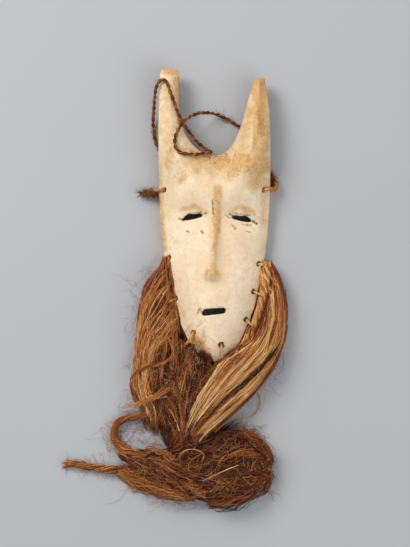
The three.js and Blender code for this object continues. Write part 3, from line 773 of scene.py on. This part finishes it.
def make_tangle():
    """The matted end of the beard: a few flows, thicker strands, and curls in all directions."""
    hair = lock(TANGLE, 0.8, 16, 10, (0.1, 0.4), 0.9, 0.8, 0.35, ragged=0.3)
    for left, right, clumps, each, tones in TANGLE_SHEETS:
        sheet(hair, left, right, clumps, each, tones, steps=14, messy=4.5, ragged=0.4, depth=2.5)
    for rows, low, count in TANGLE_STRANDS:
        bundle(hair, rows, count, (low - 0.12, low + 0.2), 0.5, 0.8, 18, 0.5, 0.35)
    dark = [(130, 462, 9), (165, 474, 18), (205, 474, 26), (245, 462, 24)]
    strays(hair, dark, 380, (0.15, 0.6), 40)
    light = [(125, 460, 9), (165, 476, 18), (205, 478, 26), (245, 466, 24)]
    strays(hair, light, 130, (0.55, 1.0), 40, 0.9, lift=2.5)
    rim = [(150, 495, 6), (200, 502, 6), (240, 500, 6), (267, 477, 7), (262, 447, 7)]
    strays(hair, rim, 200, (0.05, 0.4), 24, width=0.18, lift=4, hills=SOFT_HILLS)
    right = [(238, 428, 5), (253, 441, 6), (262, 458, 6), (264, 474, 6), (254, 487, 5)]
    strays(hair, right, 220, (0.1, 0.55), 20, width=0.5, lift=3)
    strays(hair, right, 60, (0.5, 0.9), 22, width=0.35, lift=3.5)
    finish_piece(hair, "beard_tangle_hair", "beard_tangle")


# The tangle's flows: two bounding lines in pixels, clumps, strands in each and tones
TANGLE_SHEETS = [
    ([(120, 466), (138, 472), (158, 482), (178, 491), (198, 498)],
     [(118, 473), (129, 482), (147, 491), (169, 497), (192, 501)], 8, 18, (0.34, 0.76)),
    ([(118, 449), (130, 452), (148, 452), (165, 458), (182, 468), (200, 478)],
     [(121, 458), (134, 464), (150, 470), (166, 478), (184, 487), (205, 492)], 8, 16, (0.2, 0.58)),
    ([(203, 455), (212, 447), (224, 438), (236, 427)],
     [(207, 460), (220, 454), (236, 446), (250, 440)], 7, 15, (0.22, 0.62)),
    ([(205, 480), (222, 470), (240, 464), (262, 462)],
     [(208, 507), (230, 506), (252, 498), (271, 480)], 9, 15, (0.14, 0.5)),
    ([(175, 470), (195, 462), (220, 458), (245, 452)],
     [(185, 490), (205, 484), (230, 478), (264, 466)], 7, 14, (0.12, 0.5)),
    ([(180, 440), (195, 440), (215, 432), (236, 422)],
     [(182, 456), (200, 452), (217, 446), (236, 436)], 7, 14, (0.06, 0.42)),
    ([(168, 446), (180, 440), (194, 437), (212, 430)],
     [(172, 458), (184, 452), (198, 447), (218, 438)], 5, 14, (0.1, 0.45)),
]
# Its thicker strands: rows of x, y, height and half width, then the tone and how many fibres
TANGLE_STRANDS = [
    ([(118, 470, 14, 2), (140, 478, 20, 4), (165, 488, 22, 4), (190, 495, 18, 3)], 0.55, 22),
    ([(145, 445, 18, 3), (158, 447, 24, 4), (171, 455, 27, 4), (184, 463, 27, 3)], 0.52, 22),
    ([(238, 425, 26, 3), (251, 433, 28, 5), (261, 443, 25, 5), (266, 455, 20, 4), (262, 466, 16, 3)],
     0.38, 26),
    ([(226, 453, 29, 2), (240, 449, 30, 3.5), (252, 450, 29, 3.5), (263, 457, 22, 3)], 0.45, 20),
    ([(179, 456, 28, 0.7), (184, 448, 28, 0.7), (195, 446, 29, 0.7), (204, 451, 29, 0.7),
      (202, 458, 29, 0.7)], 0.7, 3),
    ([(200, 478, 29, 0.6), (214, 471, 30, 0.6), (230, 464, 30, 0.6), (249, 458, 29, 0.5)], 0.75, 3),
    ([(186, 478, 27, 3), (196, 485, 27, 4), (206, 495, 22, 3)], 0.5, 20),
    ([(206, 500, 18, 3), (226, 500, 20, 4), (246, 494, 20, 4), (262, 484, 16, 3)], 0.38, 22),
    ([(249, 430, 20, 2), (260, 440, 17, 3), (267, 452, 13, 3), (271, 464, 9, 2.4)], 0.34, 18),
    ([(268, 468, 14, 2.4), (270, 479, 10, 3), (265, 489, 9, 3), (256, 496, 8, 2.2)], 0.32, 18),
]


def make_tail():
    """The thin tail that runs out to the left."""
    rows = [
        (133, 473, 8, 3.2), (120, 470.5, 6, 3.6), (106, 468.5, 4.5, 3.2), (92, 467, 4, 3),
        (80, 465, 3.6, 2.9), (70, 463.5, 3.2, 3.2), (62, 466, 2.6, 3),
    ]
    hair = Fibres()
    bundle(hair, rows, 120, (0.25, 0.78), 0.6, twist=1.3, messy=0.3, ragged=0.2, steps=30)
    strays(hair, [(130, 471, 4), (95, 467, 3), (64, 465, 4)], 110, (0.2, 0.7), 14, 0.8, width=0.25)
    finish_piece(hair, "tail_wisp_hair", "tail_wisp")


def make_side_loop():
    """The strand that loops round at the lower left, with fine hairs across its gap."""
    rows = [
        (152, 411, 12, 3), (141, 415, 9, 3), (128, 417.5, 6, 3.2), (118, 422.5, 5, 3.4),
        (114.5, 433, 5, 3.6), (118, 443, 6, 4), (127, 450, 8, 4.6), (139, 456, 10, 5), (150, 463, 13, 4.6),
    ]
    hair = Fibres()
    bundle(hair, rows, 130, (0.15, 0.68), 0.7, twist=1.2, messy=0.16, ragged=0.1, steps=30)
    strays(hair, [(128, 430, 6), (142, 436, 9), (160, 436, 9)], 70, (0.1, 0.5), 44, 0.6, width=0.16)
    strays(hair, [(118, 425, 6), (116, 445, 6), (108, 455, 8)], 40, (0.3, 0.6), 26, 0.8, width=0.16)
    skin = [(142, 414, 3), (118, 424, 3), (116, 440, 3), (128, 452, 4)]
    strays(hair, skin, 90, (0.2, 0.7), 16, 0.8, width=0.25)
    finish_piece(hair, "side_loop_hair", "side_loop")


make_left_lock()
make_chin_lock()
make_right_lock()
make_side_loop()
make_tail()
make_tangle()


# The bound edge of the beard and the ties
TEMPLE = 0.676
SIDE_POWER = 2.2
ROLL_HEIGHT = 12.8 * MM
ROLL_HALVES = [3.6, 5.0, 4.6, 3.6, 3.3, 3.2, 3.0, 2.8, 2.2]  # half widths down the roll, in millimetres
ROLL_OUT = [2.6, 3.0, 4.0, 4.8, 5.0, 5.0, 4.8, 4.4, 3.6]  # distances from the wood's edge, in millimetres


def side_width(share):
    """Half the width of the mask at a share of its height below the temples."""
    return HALF * (1 - (1 - share / TEMPLE) ** SIDE_POWER) ** 0.5


def make_rim_roll():
    """Stems twisted into a roll beside the right edge, thicker at its top, with four strands round it."""
    share = np.linspace(0.345, 0.05, len(ROLL_HALVES))
    half, out = np.array(ROLL_HALVES) * MM, np.array(ROLL_OUT) * MM
    x, y = MIDDLE + side_width(share) + out, CHIN + share * HEIGHT
    rows = np.stack([x, y, np.full(len(share), ROLL_HEIGHT), half], 1)
    hair = Fibres()
    strand(hair, rows, 160, (0.5, 0.85), 0.9, 1.2, 24, 0.06, 0.03)
    line = even(curve(rows, 200), 90)
    for k in range(4):
        ply = helices(line[:, :3], 0.8 * line[:, 3:], 30 * MM, 1, k * TAU / 4)[0]
        table = np.hstack([ply, np.full((len(ply), 1), 1.0 * MM)])
        strand(hair, table[3:-3:3], 22, (0.6, 1.0), 0.6, 1, 40, 0.15, 0.03)
    finish_piece(hair, "rim_roll_stems", "rim_roll")


# Each tie: its hole's mouth in millimetres, the direction from there into the hollow, and its route
RIM_TIES = [
    ("left_tie_upper", (-4.78, 26.80, 15.21), (0.72, 0.0, -0.7), "short"),
    ("left_tie_middle", (1.01, -8.91, 14.11), (0.64, 0.32, -0.7), "hair"),
    ("left_tie_lower", (16.45, -38.59, 17.55), (0.37, 0.61, -0.7), "edge"),
    ("chin_tie", (40.34, -49.03, 19.58), (-0.11, 0.71, -0.7), "edge"),
    ("right_tie_lower", (62.05, -27.27, 14.70), (-0.53, 0.49, -0.7), "roll"),
    ("right_tie_middle", (68.56, -2.88, 15.64), (-0.66, 0.27, -0.7), "roll"),
    ("right_tie_upper", (72.91, 20.76, 15.84), (-0.72, 0.05, -0.7), "short"),
]
TEMPLE_TIES = [
    ("left_temple_tie", (-8.64, 84.64, 17.95), (0.71, 0.06, -0.7)),
    ("right_temple_tie", (77.49, 84.64, 18.86), (-0.71, -0.11, -0.7)),
]
# How a tie runs beyond the edge of the wood: its crest's distance and height, its reach and its lower end
ROUTES = {
    "edge": (2.2, 13.0, 3.6, 6.0),
    "short": (0.9, 11.5, 1.4, 8.0),
    "hair": (3.5, 18.5, 7.5, 17.5),
    "roll": (2.8, 16.8, 5.0, 12.0),
    "temple": (2.2, 13.0, 3.6, 3.5),
}


ASIDE = 1.1  # how far a tie lies from the middle of its hole, in millimetres
OUTSIDE = 60  # a place well outside the wood, in millimetres from a hole's mouth
EDGE_HEIGHT = 4  # where the wood's edge is looked for, in millimetres
FLAT = (1, 1, 0)
WOOD = BVHTree.FromObject(NODES["mask"], bpy.context.evaluated_depsgraph_get())


def tie_path(mouth, inwards, route, half):
    """Rows of x, y, z and half width, from the hollow out through the hole and over the edge, in metres."""
    crest_out, crest_top, reach, drop = ROUTES[route]
    mouth, inwards = np.array(mouth), np.array(inwards)
    outwards = -unit(inwards * FLAT)
    start = (mouth * FLAT + outwards * OUTSIDE + (0, 0, EDGE_HEIGHT)) * MM
    edge = OUTSIDE - WOOD.ray_cast(start, -outwards)[3] / MM

    def beyond(out, z):
        place = mouth + outwards * (edge + out)
        return place * FLAT + (0, 0, z)

    passing = mouth + outwards * ASIDE
    steps = [mouth + inwards * 15, mouth + inwards * 8, passing, passing - inwards * 2]
    middle = 0.55 * crest_top + 0.45 * drop
    steps += [beyond(crest_out, crest_top), beyond(reach, middle), beyond(reach, drop)]
    return np.hstack([np.array(steps), np.full((len(steps), 1), half)]) * MM


def make_rim_ties():
    """Each tie has its twisted strand and a knot in the hollow."""
    for name, mouth, inwards, route in RIM_TIES:
        rows = tie_path(mouth, inwards, route, 0.9)
        hair = Fibres()
        low = 0.4 if name == "left_tie_upper" else 0.7
        strand(hair, rows, 16, (low, low + 0.3), 0.75, 0.8, 44, 0.1, 0.02)
        strand(hair, rows[:1] + (rows[:2] - rows[:1]) * 0.2, 14, (0.6, 0.9), 1.4, 1, 8, 0.6)
        finish_piece(hair, name + "_fibre", name)


def brush(hair, rows, count, reach, tones, width):
    """Stiff short hairs that stand out all round a line of x and y pixels and height."""
    line = even(curve(lifted(rows), 100), 200)
    paths = loose_ends(line[RNG.integers(0, 200, count)], 0.2 * MM, reach * MM)
    size = width / 2 * MM * np.linspace(1.2, 0.5, END_STEPS)
    hair.add(paths, size, vary(*tones, count))


def temple_loop(hole, tones):
    hair = Fibres()
    strand(hair, tie_path(*hole, "temple", 1.1), 22, tones, 0.7, 1, 44, 0.1, 0.02)
    return hair


def make_temple_ties():
    """A frayed end at the left temple, and a knot with a tuft at the right."""
    (left, *left_hole), (right, *right_hole) = TEMPLE_TIES
    hair = temple_loop(left_hole, (0.5, 0.85))
    brush(hair, [(158, 194, 8), (150, 194, 6), (141, 194, 5)], 520, 6.5, (0.1, 0.5), 0.35)
    brush(hair, [(156, 194, 8), (148, 194, 7), (143, 194, 6)], 120, 6, (0.4, 0.8), 0.3)
    finish_piece(hair, "left_temple_knot", left)
    hair = temple_loop(right_hole, (0.6, 0.9))
    knot = [
        (266, 192, 9, 1.4), (272, 191.5, 10, 1.8), (276, 188, 9, 2), (275.5, 182, 7, 1.8), (272, 178, 6, 1.4),
    ]
    bundle(hair, knot, 26, (0.45, 0.85), 0.7, 0.8, 26, 0.4, 0.2)
    brush(hair, [(272, 187, 7), (272, 179, 7), (271, 174, 6)], 420, 5, (0.15, 0.55), 0.32)
    finish_piece(hair, "right_temple_knot", right)


make_rim_roll()
make_rim_ties()
make_temple_ties()


# The wooden mask
FINE = 1.0 * MM  # size of the faces that carry its wear

# Its marks, as strokes of x, y to x, y, half width and strength, in pixels of the photograph
# Tan wear on the horns, the forehead, the edges, the nose and the chin; the four strokes in arcs above the
# eye slits are painted shade of the brows.
TANNED_AND_SHADED = [
    (196, 164, 262, 166, 18, 0.85), (168, 90, 170, 165, 12, 0.55), (168, 74, 176, 74, 6, 1.2),
    (178, 84, 182, 124, 5, 1.5), (259, 82, 260, 150, 9, 1.7), (250, 110, 244, 150, 9, 0.8),
    (262, 150, 266, 250, 6, 0.6), (161, 170, 164, 250, 4, 0.7), (250, 160, 255, 180, 13, 0.8),
    (164, 165, 190, 172, 12, 0.4), (246, 166, 256, 170, 5, 1.2), (180, 150, 200, 160, 10, 0.6),
    (217.5, 190, 216.8, 232, 5, 1.3), (196, 340, 206, 354, 7, 1.0), (180, 300, 190, 330, 4, 0.4),
    (230, 352, 246, 340, 5, 0.5), (262, 270, 256, 310, 4, 0.5), (205, 274, 214, 279, 6, 0.5),
    (226, 222, 236, 240, 7, 0.25), (182, 211, 194, 207, 3.6, 0.75), (194, 207, 207, 213, 3.6, 0.75),
    (229, 213, 239, 208, 3.6, 0.75), (239, 208, 253, 214, 3.6, 0.75), (216.8, 232, 213, 272, 4.4, 0.9),
    (208, 272, 217, 273, 4, 1.1), (186, 178, 180, 183, 5, 0.7), (205, 174, 262, 180, 13, 0.5),
]
BARE = [
    (217.5, 191, 216.8, 232, 3.6, 0.45), (216.4, 232, 212.5, 272, 3.6, 0.35),
    (207, 274, 216, 274, 3.4, 0.45), (172, 76, 176, 78, 5, 0.45), (179, 82, 183, 124, 5, 0.85),
    (260, 82, 260, 112, 5, 0.85), (260, 112, 261, 136, 5, 0.9), (254, 142, 253, 152, 3.8, 0.85),
    (241, 139, 243, 142, 2.4, 0.5), (200, 160, 225, 163, 7, 0.6), (236, 158, 262, 166, 8, 0.5),
    (228, 176, 250, 172, 7, 0.45), (160, 180, 163, 240, 3, 0.45), (270, 190, 269, 250, 3, 0.5),
    (193, 334, 208, 357, 4.5, 0.8), (256, 218, 264, 222, 4, 0.5), (184, 150, 200, 156, 6, 0.5),
    (188, 236, 202, 232, 2.4, 0.35), (176, 178, 184, 172, 4, 0.4),
]
# Cracks, specks and stains; the marks in the tie holes, along and at the ends of the eye slits, at the
# mouth's left end, and the line along the nose's left edge are painted shade.
STAINS_AND_SHADE = [
    (206, 158, 224, 160, 4, 0.35), (212.4, 202, 212.9, 216, 1, 0.8), (206, 318, 198, 326, 0.8, 0.5),
    (199, 328, 218, 344, 0.7, 0.36), (192, 296, 190, 312, 0.7, 0.3), (196, 344, 204, 355, 2.5, 0.4),
    (178, 90, 180, 108, 2, 0.25), (187, 232, 189, 233, 1.2, 0.7), (201, 232, 203, 234, 1.4, 0.7),
    (232, 226, 235, 230, 1.2, 0.7), (246, 232, 249, 233, 1, 0.6), (225, 216, 229, 219, 1.2, 0.5),
    (241, 225, 247, 226, 1.6, 0.5), (160, 112, 168, 112, 0.7, 0.4), (225, 155, 227, 157, 1.5, 0.5),
    (188, 214.8, 202, 213.2, 1.5, 0.55), (233, 214, 250, 216.4, 1.5, 0.55),
    (184, 220.5, 203, 216.5, 2.4, 0.4), (233, 218, 253, 221.5, 2.4, 0.4), (243, 225.5, 250, 226, 1.6, 0.6),
    (200, 309, 204, 314, 2, 0.5), (258.2, 263.2, 258.8, 263.4, 2.4, 1.1),
    (252.8, 291.8, 253.6, 292, 2.6, 1.2), (245.2, 319.2, 246, 319.4, 2.6, 1.2),
    (220.4, 344, 221.6, 345, 3, 1.2), (175, 298.2, 176, 298.4, 2, 0.8), (193, 333, 193.6, 333.6, 2, 0.7),
    (162.6, 191, 163.4, 191.4, 2.2, 0.9), (265, 190, 265.8, 190.2, 2.2, 0.9),
    (180, 219.5, 184, 221, 1.8, 0.7), (202, 215.5, 206, 214, 1.5, 0.6), (229, 215, 233, 217, 1.4, 0.7),
    (252, 222, 256, 224, 1.8, 0.75), (200, 308, 198, 312, 1.8, 0.6),
]


def pixels_of(points):
    """Where the photograph shows points of the frame."""
    x = (points[:, 0] - MIDDLE) / PIXEL + CHIN_PIXEL[0]
    y = CHIN_PIXEL[1] - (points[:, 1] - CHIN) / PIXEL
    return np.stack([x, y], 1)


def strokes(places, rows):
    """How strongly each place is marked by strokes."""
    marked = np.zeros(len(places))
    for x0, y0, x1, y1, half, strength in rows:
        start = np.array([x0, y0])
        along = np.array([x1, y1]) - start
        t = np.clip((places - start) @ along / (along @ along), 0, 1)
        distance = np.linalg.norm(places - start - t[:, None] * along, axis=1)
        marked = np.maximum(marked, strength * (1 - smoothstep(0.0, 1.6, distance / half)))
    return marked


def even_copy(node, voxel):
    """A CAD node's surface as an even net of small faces."""
    copy = placed("carving", NODES[node].data.copy())
    copy.data.transform(NODES[node].matrix_world)
    remesh = copy.modifiers.new("even", "REMESH")
    remesh.mode = "VOXEL"
    remesh.voxel_size = voxel
    shown = copy.evaluated_get(bpy.context.evaluated_depsgraph_get())
    mesh = bpy.data.meshes.new_from_object(shown)
    bpy.data.objects.remove(copy)
    return mesh


def array_of(items, key, width, kind=float):
    """A property of a mesh's points or edges, one row for each."""
    values = np.empty(len(items) * width, kind)
    items.foreach_get(key, values)
    return values.reshape(-1, width)


class Neighbours:
    """Means over the points that share an edge with each point of a mesh."""

    def __init__(self, mesh):
        ends = array_of(mesh.edges, "vertices", 2, np.int32)
        self.here = np.concatenate([ends[:, 0], ends[:, 1]])
        self.there = np.concatenate([ends[:, 1], ends[:, 0]])
        self.count = np.bincount(self.here, minlength=len(mesh.vertices))

    def mean(self, values):
        columns = [np.bincount(self.here, column[self.there], len(self.count)) for column in values.T]
        return np.stack(columns, 1) / self.count[:, None]


def soften(points, normals, near):
    """Smooths the facets away, and keeps the rim, the slits and the nose crisp."""
    for _ in range(5):
        normals = near.mean(normals)
    crisp = smoothstep(0.006, 0.07, 1 - np.linalg.norm(normals, axis=1))
    ease = 0.5 * (1 - 0.92 * crisp)[:, None]
    for _ in range(24):
        points = points + ease * (near.mean(points) - points)
    return points


def carved(points, normals):
    """The unevenness of carving by hand."""
    rise = [0.4 * noise.noise(Vector(p) * 45) + 0.22 * noise.noise(Vector(p) * 140) for p in points]
    return points + normals * np.array(rise)[:, None] * MM


def sheltered(points, normals):
    """1 for the places with wood above them, such as the hollow."""
    up = Vector((0, 0, 1))
    starts = points + normals * 0.8 * MM
    return np.array([float(WOOD.ray_cast(Vector(p), up)[0] is not None) for p in starts])


def mask_material():
    """Kaolin over pale wood, worn through in places, and darker bare wood in the hollow."""
    shader = Shader("whitened_wood", 0.82, 0.2)
    broad = shader.noise(34, 6, 0.62)
    grain = shader.noise(110, 6, 0.65, (1, 0.16, 1))
    speck = shader.noise(420, 5, 0.72)
    fine = shader.noise(1700, 4, 0.65)
    coat = shader.mix(shader.level(broad, 0.3, 0.7), rgb(240, 212, 172), rgb(253, 234, 203))
    streaks = shader.level(grain, 0.48, 0.76, 0.36)
    coat = shader.mix(streaks, coat, rgb(222, 184, 134))
    mottled = shader.level(shader.noise(300, 6, 0.75), 0.4, 0.66, 0.42)
    coat = shader.mix(mottled, coat, rgb(224, 190, 146))
    # The tan marks: worn kaolin, and painted shade in the arcs above the eyes.
    tan_and_shade = shader.mix(shader.level(speck, 0.3, 0.7), rgb(226, 186, 132), rgb(206, 162, 106))
    patches = shader.noise(110, 5, 0.6)
    patchy = shader.math("ADD", shader.around(broad, 1.3), shader.around(patches, 1.5))
    tanned_and_shaded = shader.level(shader.math("ADD", shader.attribute("tanned_and_shaded"), patchy), 0.1, 1.0)
    coat = shader.mix(tanned_and_shaded, coat, tan_and_shade)
    wood = shader.mix(shader.level(grain, 0.3, 0.7), rgb(218, 172, 116), rgb(184, 130, 80))
    rough_edge = shader.math("ADD", shader.around(speck, 2.2), shader.around(broad, 0.8))
    bare = shader.level(shader.math("ADD", shader.attribute("bare"), rough_edge), 0.2, 0.95)
    colour = shader.mix(bare, coat, wood)
    specks = shader.level(speck, 0.65, 0.74, 0.5)
    colour = shader.mix(specks, colour, rgb(164, 112, 68))
    # Dark brown: real stains and cracks, and painted shade in the holes, along the slits and beside the nose.
    stain_and_shade = shader.level(shader.math("ADD", shader.attribute("stain_and_shade"), shader.around(speck, 1.4)), 0.15, 0.9)
    colour = shader.mix(stain_and_shade, colour, rgb(92, 50, 28))
    hollow = shader.mix(shader.level(grain, 0.3, 0.75), rgb(132, 92, 58), rgb(84, 54, 34))
    colour = shader.mix(shader.attribute("inside"), colour, hollow)
    height = shader.math("ADD", shader.math("MULTIPLY", fine, 0.5), speck)
    height = shader.math("SUBTRACT", height, shader.math("MULTIPLY", bare, 0.6))
    return shader.finish(colour, height, 0.0005, 0.9)


def make_mask():
    """The CAD mask, smoothed and carved, with its marks."""
    mesh = even_copy("mask", FINE)
    near = Neighbours(mesh)
    normals = array_of(mesh.vertices, "normal", 3)
    points = carved(soften(array_of(mesh.vertices, "co", 3), normals, near), normals)
    points[:, 2] = np.maximum(points[:, 2], 0)
    mesh.vertices.foreach_set("co", points.ravel())
    mesh.shade_smooth()
    places = pixels_of(points)
    for key, rows in (("bare", BARE), ("stain_and_shade", STAINS_AND_SHADE), ("tanned_and_shaded", TANNED_AND_SHADED)):
        set_values(mesh, key, strokes(places, rows))
    set_values(mesh, "inside", near.mean(sheltered(points, normals)[:, None])[:, 0])
    mesh.materials.clear()
    mesh.materials.append(mask_material())
    mesh.update()
    stand_in(placed("carved_mask", mesh), "mask")


make_mask()


# Floor and light
def make_floor():
    shader = Shader("studio_floor", 0.9, 0.1)
    tint = shader.mix(shader.noise(3, 3), rgb(178, 179, 181), rgb(186, 187, 189))
    mesh = bpy.data.meshes.new("studio_floor")
    corners = [(-9, -9, 0), (9, -9, 0), (9, 9, 0), (-9, 9, 0)]
    mesh.from_pydata(corners, [], [(0, 1, 2, 3)])
    mesh.materials.append(shader.finish(tint))
    placed("studio_floor", mesh)


def make_light(name, place, size, power, colour):
    """A soft square light that shines at the middle of the floor."""
    data = bpy.data.lights.new(name, "AREA")
    data.size = size
    data.energy = power
    data.color = colour
    light = placed(name, data)
    light.location = place
    light.rotation_euler = (-Vector(place)).to_track_quat("-Z", "Y").to_euler()


def make_world():
    world = bpy.data.worlds.new("studio")
    world.use_nodes = True
    inputs = world.node_tree.nodes["Background"].inputs
    inputs["Color"].default_value = (0.9, 0.94, 1, 1)
    inputs["Strength"].default_value = 0.46
    bpy.context.scene.world = world
    bpy.context.scene.view_settings.view_transform = "Standard"


make_floor()
make_light("key", (-0.85, 0.85, 1.25), 0.8, 20, (1, 0.97, 0.93))
make_light("fill", (1.0, -0.5, 1.3), 1.4, 9, (0.97, 0.98, 1))
make_world()
